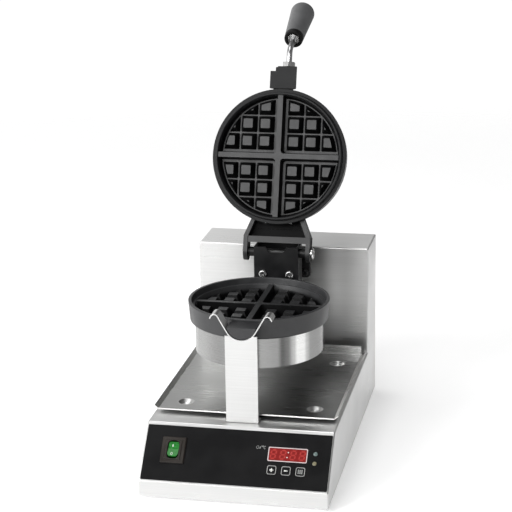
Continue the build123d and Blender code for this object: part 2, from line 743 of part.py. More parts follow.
def hinge_bracket():
    """Upright channel: front plate, back strip, two cheeks with the bolt holes and the open-lid stops."""
    x = BRACKET_X
    channel = block((-x, x), (BRACKET_Y, BRACKET_BACK), (BLOCK_Z[0], BRACKET_TOP))
    inner = x - BRACKET_T
    channel -= block((-inner, inner), (BRACKET_Y + BRACKET_T, 130), (BLOCK_Z[0] - 1, BRACKET_TOP + 1))
    stop_z = BRACKET_TOP + 2.6
    stops = block((-x, x), (HINGE_Y + 11, HINGE_Y + 14), (BRACKET_TOP - 2, stop_z))
    stops -= block((-inner, inner), (100, 130), (BRACKET_TOP - 3, stop_z + 1))
    channel += stops
    channel += block((-x, x), (BRACKET_BACK - BRACKET_T, BRACKET_BACK), (BLOCK_Z[1] + 0.5, BRACKET_TOP))
    notch = FilletPolyline((-15.5, 1), (-15.5, 0), (-10, -7.5), (10, -7.5), (15.5, 0), (15.5, 1),
                           radius=[0, 0, 3, 3, 0, 0], close=True)
    cut = Rot(90, 0, 0) * extrude(make_face(notch), 5, both=True)
    channel -= Pos(0, BRACKET_Y + 1, BRACKET_TOP) * cut
    channel -= round_x(PIN_R + 0.1, (-60, 60), HINGE_Y, HINGE_Z)
    for side in (-1, 1):
        channel -= round_y(3.3, (80, 95), side * BRACKET_SCREW[0], BRACKET_SCREW[1])
    return channel


def shaft_block():
    inner = BRACKET_X - BRACKET_T
    solid = block((-inner, inner), (BRACKET_Y + BRACKET_T, BRACKET_BACK), BLOCK_Z)
    solid -= round_y(SHAFT_R, (95, 125), 0, AXIS_Z)
    solid -= round_y(SHAFT_BORE_R, (80, 125), 0, AXIS_Z)
    for side in (-1, 1):
        solid -= round_y(3.05, (85, 108), side * BRACKET_SCREW[0], BRACKET_SCREW[1])
        solid -= round_z(4.05, (190, 209), side * LUG_SCREW_X[1], LUG_SCREW_Y)
    return solid


def swivel_shaft():
    return round_y(SHAFT_R, (95, 176), 0, AXIS_Z) - round_y(SHAFT_BORE_R, (90, 180), 0, AXIS_Z)


def shaft_collar():
    """Clamp ring inside the tower that stops the shaft from drawing out."""
    ring = round_y(21.5, (150, 160), 0, AXIS_Z) - round_y(SHAFT_R, (140, 170), 0, AXIS_Z)
    ring = chamfer(ring.edges().filter_by(GeomType.CIRCLE).filter_by(lambda e: e.radius > SHAFT_R + 1), 0.8)
    ring -= block((-1.2, 1.2), (140, 170), (AXIS_Z + 10, AXIS_Z + 30))
    return ring


def bracket_screws():
    x, z = BRACKET_SCREW
    solids = [aimed(screw(5.7, 3.6, 3.0, 16.0, socket=4.0), (side * x, BRACKET_Y, z), (0, -1, 0))
              for side in (-1, 1)]
    return Compound(children=solids)


def lug_screws():
    solids = [aimed(screw(7.0, 4.4, 4.0, 18.0, socket=5.0), (x, LUG_SCREW_Y, TONGUE_Z[0]), (0, 0, -1))
              for x in LUG_SCREW_X]
    return Compound(children=solids)


def hinge_bolt():
    shank = round_x(PIN_R, (-EAR_X - 2.2, EAR_X + 0.4), HINGE_Y, HINGE_Z)
    head = round_x(8.6, (EAR_X + 0.3, EAR_X + 4.8), HINGE_Y, HINGE_Z)
    head = fillet(head.edges().group_by(Axis.X)[-1], 2.4)
    socket = Plane(origin=(EAR_X + 2.4, HINGE_Y, HINGE_Z), z_dir=(1, 0, 0)).location
    bolt = shank + head
    return bolt - socket * extrude(RegularPolygon(3.0, 6, major_radius=False), 6)


def hinge_clip():
    """Flat ring pressed on the bolt's end, against the left ear."""
    face = -EAR_X - 0.3
    ring = round_x(8.0, (face - 1.2, face), HINGE_Y, HINGE_Z)
    ring = chamfer(ring.edges().group_by(Axis.X)[0], 0.4)
    return ring - round_x(PIN_R, (-60, 0), HINGE_Y, HINGE_Z)


def hinge_spacers():
    solids = []
    for side in (-1, 1):
        x = (side * BRACKET_X, side * (EAR_X - EAR_T - 0.3))
        solids.append(round_x(6.8, x, HINGE_Y, HINGE_Z) - round_x(PIN_R, (-60, 60), HINGE_Y, HINGE_Z))
    return Compound(children=solids)


def hinge_arm():
    """Cast channel from the upper plate to the hinge: web on top, two cheeks that widen into ears."""
    plate_back = PLATE_Y + PLATE_R
    y_plate = plate_back - 12.0
    y_shoulder = HINGE_Y - 22
    y_end = HINGE_Y + 12.5
    ear_in = EAR_X - EAR_T
    wall = EAR_T / cos(atan2(EAR_X - ARM_PLATE_X, y_shoulder - y_plate))
    web_t = 5.2
    web_top = HINGE_Z + 9.4
    low = HINGE_Z - 12.5
    outline = [(ARM_PLATE_X, y_plate), (EAR_X, y_shoulder), (EAR_X, y_end)]
    outer = [(-x, y) for x, y in reversed(outline)] + outline
    hollow = [(ARM_PLATE_X - wall, y_plate - 1), (ear_in, y_shoulder + 1), (ear_in, y_end + 1)]
    hollow = [(-x, y) for x, y in reversed(hollow)] + hollow
    body = Pos(0, 0, low) * extrude(make_face(Polyline(*outer, close=True)), web_top - low)
    cut_outline = make_face(Polyline(*hollow, close=True))
    body -= Pos(0, 0, low - 1) * extrude(cut_outline, web_top - low - web_t + 1)
    clear = block((-ear_in, ear_in), (HINGE_Y - WEB_GAP, 130), (HINGE_Z - 2, web_top + 1))
    body -= clear
    crossbar = block(
        (-EAR_X + 1, EAR_X - 1),
        (HINGE_Y - CROSSBAR[1], HINGE_Y - CROSSBAR[0]),
        (HINGE_Z - CROSSBAR_LOW, web_top),
    )
    crossbar -= round_x(WEB_GAP, (-ear_in, ear_in), HINGE_Y, HINGE_Z)
    crossbar -= clear
    body += crossbar
    ear_trim = block((-60, 60), (HINGE_Y, 130), (200, 300)) - round_x(12.5, (-60, 60), HINGE_Y, HINGE_Z)
    body -= ear_trim
    body -= round_z(PLATE_R + 0.2, (AXIS_Z - 5, AXIS_Z + CAST_H + 0.2), 0, PLATE_Y)
    pad = block((-ARM_PLATE_X, ARM_PLATE_X), (y_plate - 2, plate_back + 6), (AXIS_Z + CAST_H + 0.2, web_top))
    body += pad
    body -= round_z(BAND_R + 0.4, (200, 300), 0, PLATE_Y)
    body -= round_x(PIN_R + RUN_GAP, (-60, 60), HINGE_Y, HINGE_Z)
    for x in (-ARM_SCREW_X, ARM_SCREW_X):
        body -= round_z(2.7, (240, 260), x, ARM_SCREW_Y)
    return body


def arm_screws():
    solids = [aimed(screw(4.6, 2.6, 2.5, 16.0, socket=3.0), (x, ARM_SCREW_Y, HINGE_Z + 9.4), (0, 0, 1))
              for x in (-ARM_SCREW_X, ARM_SCREW_X)]
    return Compound(children=solids)


# ---------------------------------------------------------------- handle

def handle_end():
    return PLATE_Y - PLATE_R - HANDLE_REACH


def handle_direction():
    return Vector(0, -cos(radians(ROD_BEND)), sin(radians(ROD_BEND)))


def bend_point():
    return Vector(HANDLE_X, handle_end() - 6.5 - ROD_RUN, HANDLE_Z)


def handle_rod():
    start = Vector(HANDLE_X, handle_end() + 25, HANDLE_Z)
    end = bend_point() + handle_direction() * (ROD_RISE + 62)
    path = FilletPolyline(start, bend_point(), end, radius=14)
    section = Plane(origin=start, z_dir=(0, -1, 0)) * Circle(ROD_R)
    return sweep(section, path)


def rod_nut():
    across = 16.0
    nut = Plane(origin=(HANDLE_X, handle_end() - 0.05, HANDLE_Z), z_dir=(0, -1, 0)).location * extrude(
        RegularPolygon(across / 2, 6, major_radius=False), 6.5)
    return nut - round_y(ROD_R + 0.02, (-200, -100), HANDLE_X, HANDLE_Z)


def grip_plane():
    return Plane(origin=bend_point() + handle_direction() * ROD_RISE, z_dir=handle_direction())


def grip():
    outline = [(0, 0), (GRIP_R[0], 0), (GRIP_R[1], GRIP_L), (0, GRIP_L)]
    body = turned(outline, [0, 1.5, 8.0, 0])
    body -= Pos(0, 0, 3) * Cylinder(9.6, 6.1)
    body -= Pos(0, 0, 35) * Cylinder(ROD_R + 0.05, 70)
    return grip_plane().location * body


def grip_nut():
    nut = extrude(RegularPolygon(7.5, 6, major_radius=False), 6.0) - Cylinder(ROD_R + 0.02, 30)
    return grip_plane().location * nut


# ---------------------------------------------------------------- assembly
def add_base():
    PARTS["housing_shell"] = housing_shell()
    PARTS["feet"] = Compound(children=[foot(at) for at in feet_places()])
    PARTS["bottom_plate"] = bottom_plate()
    PARTS["rear_cover"] = rear_cover()
    PARTS["cover_screws"] = cover_screws()
    PARTS["front_panel"] = front_panel()
    PARTS["switch_frame"] = switch_frame()
    PARTS["switch_gasket"] = switch_gasket()
    PARTS["switch_body"] = switch_body()
    PARTS["rocker"] = rocker()
    PARTS["display_window"] = display_window()
    PARTS["display_frame"] = display_frame()
    PARTS["display_module"] = display_module()
    PARTS["lamps"] = Compound(children=[lamp(at) for at in LAMP_AT])
    for name, x in zip(("key_plus", "key_minus", "key_set"), KEY_X):
        PARTS[name] = key(x)
    PARTS["control_board"] = control_board()
    PARTS["board_spacers"] = board_spacers()
    PARTS["transformer"] = transformer()
    PARTS["heat_relays"] = heat_relays()
    PARTS["terminal_block"] = terminal_block()
    PARTS["safety_cutout"] = safety_cutout()
    PARTS["cable_gland"] = cable_gland()
    PARTS["bearing_flange"] = bearing_flange()
    PARTS["bearing_bush"] = bearing_bush()
    PARTS["flange_screws"] = flange_screws()
    PARTS["support_strip"] = support_strip()
    PARTS["saddle"] = saddle()
    PARTS["strip_screws"] = strip_screws()
    PARTS["drip_tray"] = drip_tray()


def add_head():
    under = AXIS_Z - CAST_H
    bottom = under - BAND_H
    at_plate = Pos(0, PLATE_Y, under - 0.1)
    PARTS["lower_plate"] = lower_plate()
    PARTS["lower_band"] = band(bottom, under - 0.05)
    PARTS["lower_pan"] = Pos(0, PLATE_Y, bottom + 0.5) * pan()
    PARTS["lower_heater"] = at_plate * heater()
    PARTS["lower_insulation"] = at_plate * Pos(0, 0, -9) * insulation()
    PARTS["lower_sensor"] = at_plate * Rot(0, 0, 135) * sensor()
    PARTS["lower_tie_screw"] = Pos(0, PLATE_Y, bottom + 0.4) * tie_screw()
    PARTS["hinge_bracket"] = hinge_bracket()
    PARTS["bracket_screws"] = bracket_screws()
    PARTS["shaft_block"] = shaft_block()
    PARTS["lug_screws"] = lug_screws()
    PARTS["swivel_shaft"] = swivel_shaft()
    PARTS["shaft_collar"] = shaft_collar()
    PARTS["hinge_bolt"] = hinge_bolt()
    PARTS["hinge_clip"] = hinge_clip()
    PARTS["hinge_spacers"] = hinge_spacers()


def add_lid():
    over = AXIS_Z + 0.1 + CAST_H
    top = over + BAND_H
    flip = Rot(0, 180, 0)
    at_plate = Pos(0, PLATE_Y, over + 0.1)
    closed = {
        "upper_plate": upper_plate(),
        "upper_band": band(over + 0.05, top),
        "upper_pan": Pos(0, PLATE_Y, top - 0.5) * flip * pan(),
        "upper_heater": at_plate * flip * heater(),
        "upper_insulation": at_plate * Pos(0, 0, 9) * flip * insulation(),
        "upper_sensor": at_plate * flip * Rot(0, 0, 45) * sensor(),
        "upper_tie_screw": Pos(0, PLATE_Y, top - 0.4) * flip * tie_screw(),
        "hinge_arm": hinge_arm(),
        "arm_screws": arm_screws(),
        "handle_rod": handle_rod(),
        "rod_nut": rod_nut(),
        "grip": grip(),
        "grip_nut": grip_nut(),
    }
    for name, shape in closed.items():
        PARTS[name] = opened(shape)


def main():
    add_base()
    add_head()
    add_lid()
    os.makedirs("parts", exist_ok=True)
    for name, shape in PARTS.items():
        export_step(shape, f"parts/{name}.step")


main()
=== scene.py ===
import json
import math
from functools import cache

import bmesh
import bpy
from mathutils import Matrix, Vector
from mathutils.bvhtree import BVHTree


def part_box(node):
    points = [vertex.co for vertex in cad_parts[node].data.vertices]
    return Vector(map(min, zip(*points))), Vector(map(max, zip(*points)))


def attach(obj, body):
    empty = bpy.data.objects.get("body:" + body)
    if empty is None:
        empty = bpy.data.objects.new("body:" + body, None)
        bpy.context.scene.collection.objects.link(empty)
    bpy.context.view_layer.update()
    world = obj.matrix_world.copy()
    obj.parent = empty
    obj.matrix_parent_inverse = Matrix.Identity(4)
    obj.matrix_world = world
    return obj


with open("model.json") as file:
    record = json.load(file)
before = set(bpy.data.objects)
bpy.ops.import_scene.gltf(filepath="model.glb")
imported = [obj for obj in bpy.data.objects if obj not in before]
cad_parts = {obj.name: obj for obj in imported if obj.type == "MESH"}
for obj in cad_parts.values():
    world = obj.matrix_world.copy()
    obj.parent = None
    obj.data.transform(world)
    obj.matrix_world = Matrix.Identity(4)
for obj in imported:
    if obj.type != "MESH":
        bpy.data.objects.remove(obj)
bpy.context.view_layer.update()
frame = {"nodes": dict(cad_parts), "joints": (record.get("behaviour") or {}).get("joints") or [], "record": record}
nodes = frame["nodes"]


def middle(node):
    """The middle of a CAD node's box at rest."""
    low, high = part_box(node)
    return (low + high) / 2


# ---------------------------------------------------------------- places on the object, in metres
# The housing stands with its middle on the origin and its front towards -Y.
MM = 0.001
shell_low, shell_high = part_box("housing_shell")
HALF_WIDTH = shell_high.x
TOWER_TOP = shell_high.z
TOWER_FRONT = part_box("bearing_flange")[1].y
FRONT_TOLERANCE = 0.0008
# Heights over which the tower front's painted shade grows in, and the X span over which painted shade darkens the
# tray.
DECK_FADE = (0.10, 0.16)
TRAY_FADE = (-0.10, 0.04)

# The sloping front: where it starts, up along it, and out of it.
SLOPE_DEPTH = 57
SLOPE_RISE = 61
SLOPE_START = Vector((0, shell_low.y, 0.026))
SLOPE_RUN = Vector((0, SLOPE_DEPTH, SLOPE_RISE)).normalized()
SLOPE_OUT = Vector((0, -SLOPE_RISE, SLOPE_DEPTH)).normalized()

# The lid stands open at rest. UPPER_SHIFT and a turn by OPEN lay it shut, about the plates' middle.
lid_hinge = next(joint for joint in frame["joints"] if joint["name"] == "lid_hinge")
HINGE = Vector(lid_hinge["pos_m"])
OPEN = math.radians(lid_hinge["range_deg"][1])
LID_OUT = (0, -math.sin(OPEN), -math.cos(OPEN))
PLATE_MIDDLE = Vector((0, middle("lower_band").y, 0))
UPPER_SHIFT = HINGE - Matrix.Rotation(OPEN, 3, "X") @ HINGE - PLATE_MIDDLE

# A plate's rim, by its radius, its flats, by how squarely they face out, and the recess in the
# hinge arm, measured along LID_OUT.
RIM_START = 0.0850
RIM_END = 0.0865
FLAT = (0.88, 0.97)
ARM_RECESS = -0.0205
ARM_RECESS_DEPTH = 0.008

# The tray's dimples: a front pair and a rear pair.
TRAY_FLOOR = 0.092
DIMPLE_PAIRS = ((0.088, -0.103), (0.090, 0.076))
DIMPLES = [(side * x, y, TRAY_FLOOR) for x, y in DIMPLE_PAIRS for side in (-1, 1)]
DIMPLE_RADIUS = 0.013

# The hinge bolt's head starts at this X. The cup on the grip is a ball round its nut.
BOLT_HEAD = 0.043
GRIP_CUP_RADIUS = 0.0145


# ---------------------------------------------------------------- node helpers
class Graph:
    """Short calls that make and link nodes in one node tree."""

    def __init__(self, tree):
        self.tree = tree
        self.place = self.node("ShaderNodeTexCoord")

    def node(self, kind, **settings):
        """A new node of that kind with its settings."""
        made = self.tree.nodes.new(kind)
        for name, value in settings.items():
            setattr(made, name, value)
        return made

    def link(self, output, socket):
        self.tree.links.new(output, socket)

    def feed(self, value, socket):
        """Gives the socket a number or a colour, or links an output to it."""
        if isinstance(value, (int, float)):
            socket.default_value = value
        elif isinstance(value, tuple):
            socket.default_value = (*value, 1)
        else:
            self.link(value, socket)

    def axis(self, letter, source="Object"):
        """X, Y or Z of the place, or of what another of the texture coordinates gives."""
        split = self.node("ShaderNodeSeparateXYZ")
        self.link(self.place.outputs[source], split.inputs[0])
        return split.outputs[letter]

    def maths(self, operation, *values):
        """The result of an operation on numbers and outputs."""
        made = self.node("ShaderNodeMath", operation=operation)
        for value, socket in zip(values, made.inputs):
            self.feed(value, socket)
        return made.outputs[0]

    def vector_maths(self, operation, vector, other=(0, 0, 0), result="Value"):
        """The result of an operation on an output and a fixed vector."""
        made = self.node("ShaderNodeVectorMath", operation=operation)
        self.link(vector, made.inputs[0])
        made.inputs[1].default_value = other
        return made.outputs[result]

    def spread(self, value, low, high, start=0.35, end=0.65, kind="LINEAR"):
        """A number that goes from low to high while the value goes from start to end."""
        ranged = self.node("ShaderNodeMapRange", interpolation_type=kind)
        for name, number in (("From Min", start), ("From Max", end), ("To Min", low), ("To Max", high)):
            ranged.inputs[name].default_value = number
        self.link(value, ranged.inputs["Value"])
        return ranged.outputs[0]

    def rise(self, value, start, end, kind="LINEAR"):
        """A share that goes from 0 to 1 while the value goes from start to end."""
        return self.spread(value, 0.0, 1.0, start, end, kind)

    def fall(self, value, start, end, kind="LINEAR"):
        """A share that goes from 1 to 0 while the value goes from start to end."""
        return self.spread(value, 1.0, 0.0, start, end, kind)

    def past(self, value, edge, soft=0.0005):
        """0 where the value is under the edge and 1 where it is over it, with a soft step."""
        return self.rise(value, edge - soft, edge + soft)

    def between(self, share, low, high):
        """The number low where the share is 0, and high where it is 1."""
        return self.spread(share, low, high, 0.0, 1.0)

    def blend(self, share, a, b):
        """The number or output a where the share is 0, and b where it is 1."""
        mixed = self.node("ShaderNodeMix", data_type="FLOAT")
        for value, socket in ((share, mixed.inputs[0]), (a, mixed.inputs[2]), (b, mixed.inputs[3])):
            self.feed(value, socket)
        return mixed.outputs[0]

    def mix(self, share, a, b):
        """The colour a where the share is 0, and b where it is 1."""
        mixed = self.node("ShaderNodeMix", data_type="RGBA")
        for value, socket in ((share, mixed.inputs[0]), (a, mixed.inputs[6]), (b, mixed.inputs[7])):
            self.feed(value, socket)
        return mixed.outputs[2]

    def ramp(self, value, stops, kind="LINEAR"):
        """The colour that the stops, each a place and a colour, give for the value."""
        made = self.node("ShaderNodeValToRGB")
        made.color_ramp.interpolation = kind
        elements = made.color_ramp.elements
        for i, (place, colour) in enumerate(stops):
            stop = elements[i] if i < 2 else elements.new(place)
            stop.position = place
            stop.color = (*colour, 1)
        self.link(value, made.inputs["Fac"])
        return made.outputs["Color"]

    def tint(self, value, low, high, start=0.35, end=0.65):
        """A colour that goes from low to high while the value goes from start to end."""
        return self.ramp(value, ((start, low), (end, high)))


# The radius that sharp edges are shaded with, in metres.
EDGE = 0.0004


class Maker(Graph):
    """One procedural material in the making. Its bump also shades sharp edges as if rounded."""

    def __init__(self, name, edge=EDGE):
        self.name = name
        self.edge = edge
        self.material = bpy.data.materials.new(name)
        self.material.use_nodes = True
        super().__init__(self.material.node_tree)
        self.shader = self.tree.nodes["Principled BSDF"]

    def set(self, **values):
        """Feeds the shader's sockets. An underscore in a name stands for a space."""
        for name, value in values.items():
            self.feed(value, self.shader.inputs[name.replace("_", " ")])
        return self

    def mapping(self, vector, **settings):
        """The vector after a scale, a turn and a move."""
        made = self.node("ShaderNodeMapping")
        for name, value in settings.items():
            made.inputs[name].default_value = value
        self.link(vector, made.inputs["Vector"])
        return made.outputs[0]

    def laid_shut(self, turn, shift):
        """Places as they are with the lid shut, from the plates' middle."""
        return self.mapping(self.place.outputs["Object"], Location=shift, Rotation=(turn, 0, 0))

    def noise(self, scale, detail, stretch=(1, 1, 1), vector=None):
        """Noise that is finer along an axis with a larger stretch."""
        if vector is None:
            vector = self.place.outputs["Object"]
        texture = self.node("ShaderNodeTexNoise")
        texture.inputs["Scale"].default_value = scale
        texture.inputs["Detail"].default_value = detail
        self.link(self.mapping(vector, Scale=stretch), texture.inputs["Vector"])
        return texture.outputs["Fac"]

    def distance(self, point):
        """How far the surface is from a point."""
        return self.vector_maths("DISTANCE", self.place.outputs["Object"], point)

    def dot(self, direction, source="Object"):
        """How far the place lies, or how squarely the surface faces, along a direction."""
        return self.vector_maths("DOT_PRODUCT", self.place.outputs[source], direction)

    def facing_up(self):
        """1 on level faces and 0 on the others."""
        return self.rise(self.maths("ABSOLUTE", self.axis("Z", "Normal")), 0.72, 0.8)

    def base_colour(self):
        """The output that gives the colour so far."""
        return self.shader.inputs["Base Color"].links[0].from_socket

    def scale_colour(self, factor):
        """Brightens or darkens the colour so far."""
        scaled = self.node("ShaderNodeVectorMath", operation="SCALE")
        self.link(self.base_colour(), scaled.inputs[0])
        self.link(factor, scaled.inputs["Scale"])
        return self.set(Base_Color=scaled.outputs[0])

    def cover(self, share, tone):
        """Lays a plain tone over the colour so far, where the share is 1."""
        return self.set(Base_Color=self.mix(share, self.base_colour(), tone))

    def upright_tangent(self):
        """Stretches highlights across the flat-lying grain."""
        made = self.node("ShaderNodeCombineXYZ")
        for socket, number in zip(made.inputs, (0, 0.05, 1)):
            socket.default_value = number
        self.link(made.outputs[0], self.shader.inputs["Tangent"])

    def bump(self, height, strength, distance):
        """Shades the surface as raised by the height, over a distance in metres."""
        bumped = self.node("ShaderNodeBump")
        bumped.inputs["Strength"].default_value = strength
        bumped.inputs["Distance"].default_value = distance
        self.link(height, bumped.inputs["Height"])
        if self.edge:
            rounded_edge = self.node("ShaderNodeBevel", samples=4)
            rounded_edge.inputs["Radius"].default_value = self.edge
            self.link(rounded_edge.outputs[0], bumped.inputs["Normal"])
        self.link(bumped.outputs[0], self.shader.inputs["Normal"])


def grey(level):
    """A neutral colour."""
    return (level, level, level)


def shade(tone, factor):
    """A colour made brighter or darker."""
    return tuple(v * factor for v in tone)


def shades(stops, tone=(1, 1, 1)):
    """Ramp stops from pairs of a place and a level."""
    return [(place, shade(tone, level)) for place, level in stops]


# ---------------------------------------------------------------- metals
STEEL = (0.62, 0.62, 0.615)


def brushed(name, tone, rough, grain=(5, 5, 1300), top_grain=(5, 1300, 5), depth=0.10, anisotropy=0.55):
    """Sheet steel with its grain lying flat: across on upright faces, and along X on level ones."""
    m = Maker(name).set(Metallic=1.0, Anisotropic=anisotropy)
    lines = m.blend(m.facing_up(), m.noise(1.0, 4.0, grain), m.noise(1.0, 4.0, top_grain))
    smears = m.noise(14.0, 2.0)
    streaks = m.tint(lines, shade(tone, 0.93), shade(tone, 1.03), 0.3, 0.7)
    m.set(Base_Color=m.mix(m.spread(smears, 0.0, 0.22, 0.5, 0.75), streaks, shade(tone, 0.9)))
    grained = m.spread(lines, rough - 0.05, rough + 0.06)
    m.set(Roughness=m.maths("ADD", grained, m.spread(smears, -0.03, 0.05)))
    m.upright_tangent()
    m.bump(lines, depth, 0.00006)
    return m


def strip_material():
    """The cradle's sheet, with a coarser grain than the housing's."""
    return brushed("strip_steel", (0.65, 0.65, 0.645), 0.38, grain=(5, 5, 700), top_grain=(5, 700, 5))


# From the housing's left side to its right one, how bright the tower's front is under its painted shade.
TOWER_PAINTED_SHADE = (
    (0.00, 1.00), (0.40, 0.97), (0.64, 0.60), (0.72, 0.66), (0.80, 0.98), (0.88, 0.78), (1.00, 0.84),
)


def housing_material():
    """Painted shade darkens the tower's front in broad upright bands towards its right side; a painted highlight
    brightens its top.
    """
    m = brushed("housing_steel", STEEL, 0.34)
    across = m.rise(m.axis("X"), -HALF_WIDTH, HALF_WIDTH)
    painted_shade_bands = m.ramp(across, shades(TOWER_PAINTED_SHADE), "EASE")
    # Painted shade on the front above the deck, weaker near the deck.
    on_front = m.maths("COMPARE", m.axis("Y"), TOWER_FRONT, FRONT_TOLERANCE)
    above_deck = m.spread(m.axis("Z"), 0.35, 1.0, *DECK_FADE, "SMOOTHSTEP")
    share = m.maths("MULTIPLY", on_front, above_deck)
    painted_shade = m.maths("MULTIPLY", share, m.maths("SUBTRACT", 1.0, painted_shade_bands))
    front = m.maths("SUBTRACT", 1.0, painted_shade)
    # A painted highlight brightens the top face.
    top = m.spread(m.axis("Z"), 1.0, 1.35, TOWER_TOP - 0.001, TOWER_TOP - 0.0003)
    return m.scale_colour(m.maths("MULTIPLY", front, top))


def tray_material():
    """Duller sheet, with painted shade darker to the right; painted light makes its upstands bright, its sides mid
    grey and its four dimples bright.
    """
    m = brushed("tray_steel", (0.40, 0.402, 0.395), 0.30, (5, 5, 900), (4, 800, 4), 0.03, 0.2)
    # Painted shade darkens the tray towards its right.
    m.scale_colour(m.spread(m.axis("X"), 1.0, 0.40, *TRAY_FADE, "SMOOTHSTEP"))
    # The four dimples get a painted highlight.
    nearest = 1.0
    for dimple in DIMPLES:
        nearest = m.maths("MINIMUM", nearest, m.distance(dimple))
    painted_light = m.fall(nearest, DIMPLE_RADIUS - 0.006, DIMPLE_RADIUS, "SMOOTHSTEP")
    # Painted light by facing: mid grey on the sides, near white on the front-facing upstands.
    faces_side = m.rise(m.maths("ABSOLUTE", m.axis("X", "Normal")), 0.3, 0.5)
    faces_front = m.fall(m.axis("Y", "Normal"), -0.8, -0.6)
    m.cover(painted_light, (0.90, 0.90, 0.89))
    m.cover(faces_side, (0.50, 0.50, 0.49))
    return m.cover(faces_front, (0.93, 0.93, 0.92))


# Once round a plate's band, how bright its painted reflections are.
BAND_REFLECTIONS = (
    (0.000, 0.25), (0.033, 0.20), (0.080, 0.30), (0.117, 0.34), (0.186, 0.22), (0.240, 0.24),
    (0.283, 0.32), (0.325, 0.30), (0.338, 0.10), (0.352, 0.16), (0.370, 0.50), (0.380, 0.85),
    (0.400, 0.85), (0.412, 0.50), (0.425, 0.28), (0.468, 0.24), (0.505, 0.34), (0.580, 0.20),
    (0.660, 0.45), (0.720, 0.15), (0.800, 0.50), (0.880, 0.20), (0.950, 0.35), (1.000, 0.25),
)


def turned_band(name, turn, shift, start):
    """Polished band: fine lines run round it, and broad soft stripes of painted reflection vary its colour round
    it.
    """
    m = Maker(name).set(Metallic=1.0, Anisotropic=0.6)
    around = m.laid_shut(turn, shift)
    angle = m.node("ShaderNodeTexGradient", gradient_type="RADIAL")
    m.link(m.mapping(around, Rotation=(0, 0, start)), angle.inputs["Vector"])
    # The stripes are painted reflections.
    painted_reflections = m.ramp(angle.outputs["Fac"], shades(BAND_REFLECTIONS, (1, 1, 0.99)), "EASE")
    lines = m.noise(1.0, 3.0, (4, 4, 1500), around)
    m.set(Base_Color=m.mix(m.spread(lines, 0.0, 0.12), painted_reflections, (0.5, 0.5, 0.49)))
    m.set(Roughness=m.spread(lines, 0.24, 0.34))
    m.upright_tangent()
    m.bump(lines, 0.06, 0.00005)
    return m


def bolt_material():
    """A zinc bolt whose head is bright and whose shank is dark."""
    m = Maker("bolt_zinc").set(Metallic=1.0)
    head = m.past(m.axis("X"), BOLT_HEAD)
    # The shank is darker than the head.
    dark_shank = m.tint(m.noise(60.0, 2.0), grey(0.05), grey(0.08))
    m.set(Base_Color=m.mix(head, dark_shank, (0.70, 0.70, 0.69)), Roughness=m.between(head, 0.45, 0.2))
    m.bump(m.noise(420.0, 2.0), 0.06, 0.00008)
    return m


def machined(name, tone, rough):
    """Bare turned or plated metal with faint tool marks."""
    m = Maker(name).set(Metallic=1.0)
    lines = m.noise(420.0, 2.0)
    m.set(Base_Color=m.tint(m.noise(60.0, 2.0), shade(tone, 0.85), shade(tone, 1.05)))
    m.set(Roughness=m.spread(lines, rough - 0.05, rough + 0.08))
    m.bump(lines, 0.06, 0.00008)
    return m


# ---------------------------------------------------------------- paint and castings
def coated(name, low, high, rough, size, depth, gloss=0.5):
    """Paint or non-stick coat with a fine orange-peel or sand-cast surface."""
    m = Maker(name).set(Specular_IOR_Level=gloss)
    cloud = m.noise(45.0, 3.0)
    grit = m.noise(size, 3.0)
    m.set(Base_Color=m.tint(cloud, low, high))
    patches = m.spread(cloud, rough - 0.05, rough + 0.06)
    m.set(Roughness=m.maths("ADD", patches, m.spread(grit, -0.03, 0.04)))
    m.bump(grit, depth, 0.00025)
    return m


def casting(name, low=(0.012, 0.0122, 0.013), high=(0.018, 0.0183, 0.019)):
    """Sand-cast metal under a matt black coat."""
    return coated(name, low, high, 0.40, 1100.0, 0.35)


def plate_material(name, turn, shift, out, rim_painted_light, rim_gloss):
    """A plate's casting with painted shade: the slopes of its studs and bars are darkened and less glossy; its rim
    is painted lighter or darker.
    """
    m = casting(name)
    level = m.vector_maths("MULTIPLY", m.laid_shut(turn, shift), (1, 1, 0), "Vector")
    rim = m.rise(m.vector_maths("LENGTH", level), RIM_START, RIM_END, "SMOOTHSTEP")
    painted_light = m.rise(m.dot(out, "Normal"), *FLAT)
    # Painted shade darkens the slopes to a quarter; the rim's painted light makes it lighter or darker.
    m.scale_colour(m.blend(rim, m.between(painted_light, 0.25, 1.0), rim_painted_light))
    return m.set(Specular_IOR_Level=m.blend(rim, m.between(painted_light, 0.08, 0.5), rim_gloss))


def arm_material():
    """The hinge arm's casting, with painted shade and less gloss in the recess between its cheeks."""
    m = casting("arm_casting")
    unshaded = m.rise(m.dot(LID_OUT), ARM_RECESS, ARM_RECESS + ARM_RECESS_DEPTH, "SMOOTHSTEP")
    # Painted shade in the recess between the cheeks.
    m.scale_colour(m.between(unshaded, 0.25, 1.0))
    return m.set(Specular_IOR_Level=m.between(unshaded, 0.06, 0.5))


# ---------------------------------------------------------------- plastics, lenses and inks
def moulded(name, low, high, rough, depth=0.12, size=1500.0, gloss=0.4, edge=EDGE):
    """Moulded plastic, rubber or fibre with a fine grit."""
    m = Maker(name, edge).set(Specular_IOR_Level=gloss)
    cloud = m.noise(30.0, 2.0)
    m.set(Base_Color=m.tint(cloud, low, high), Roughness=m.spread(cloud, rough - 0.05, rough + 0.06))
    m.bump(m.noise(size, 2.0), depth, 0.0001)
    return m


def panel_material():
    """The control front's smooth black film."""
    low, high = (0.0050, 0.0050, 0.0054), (0.0066, 0.0066, 0.0070)
    return moulded("panel_black", low, high, 0.42, depth=0.08, size=2200.0, gloss=0.10)


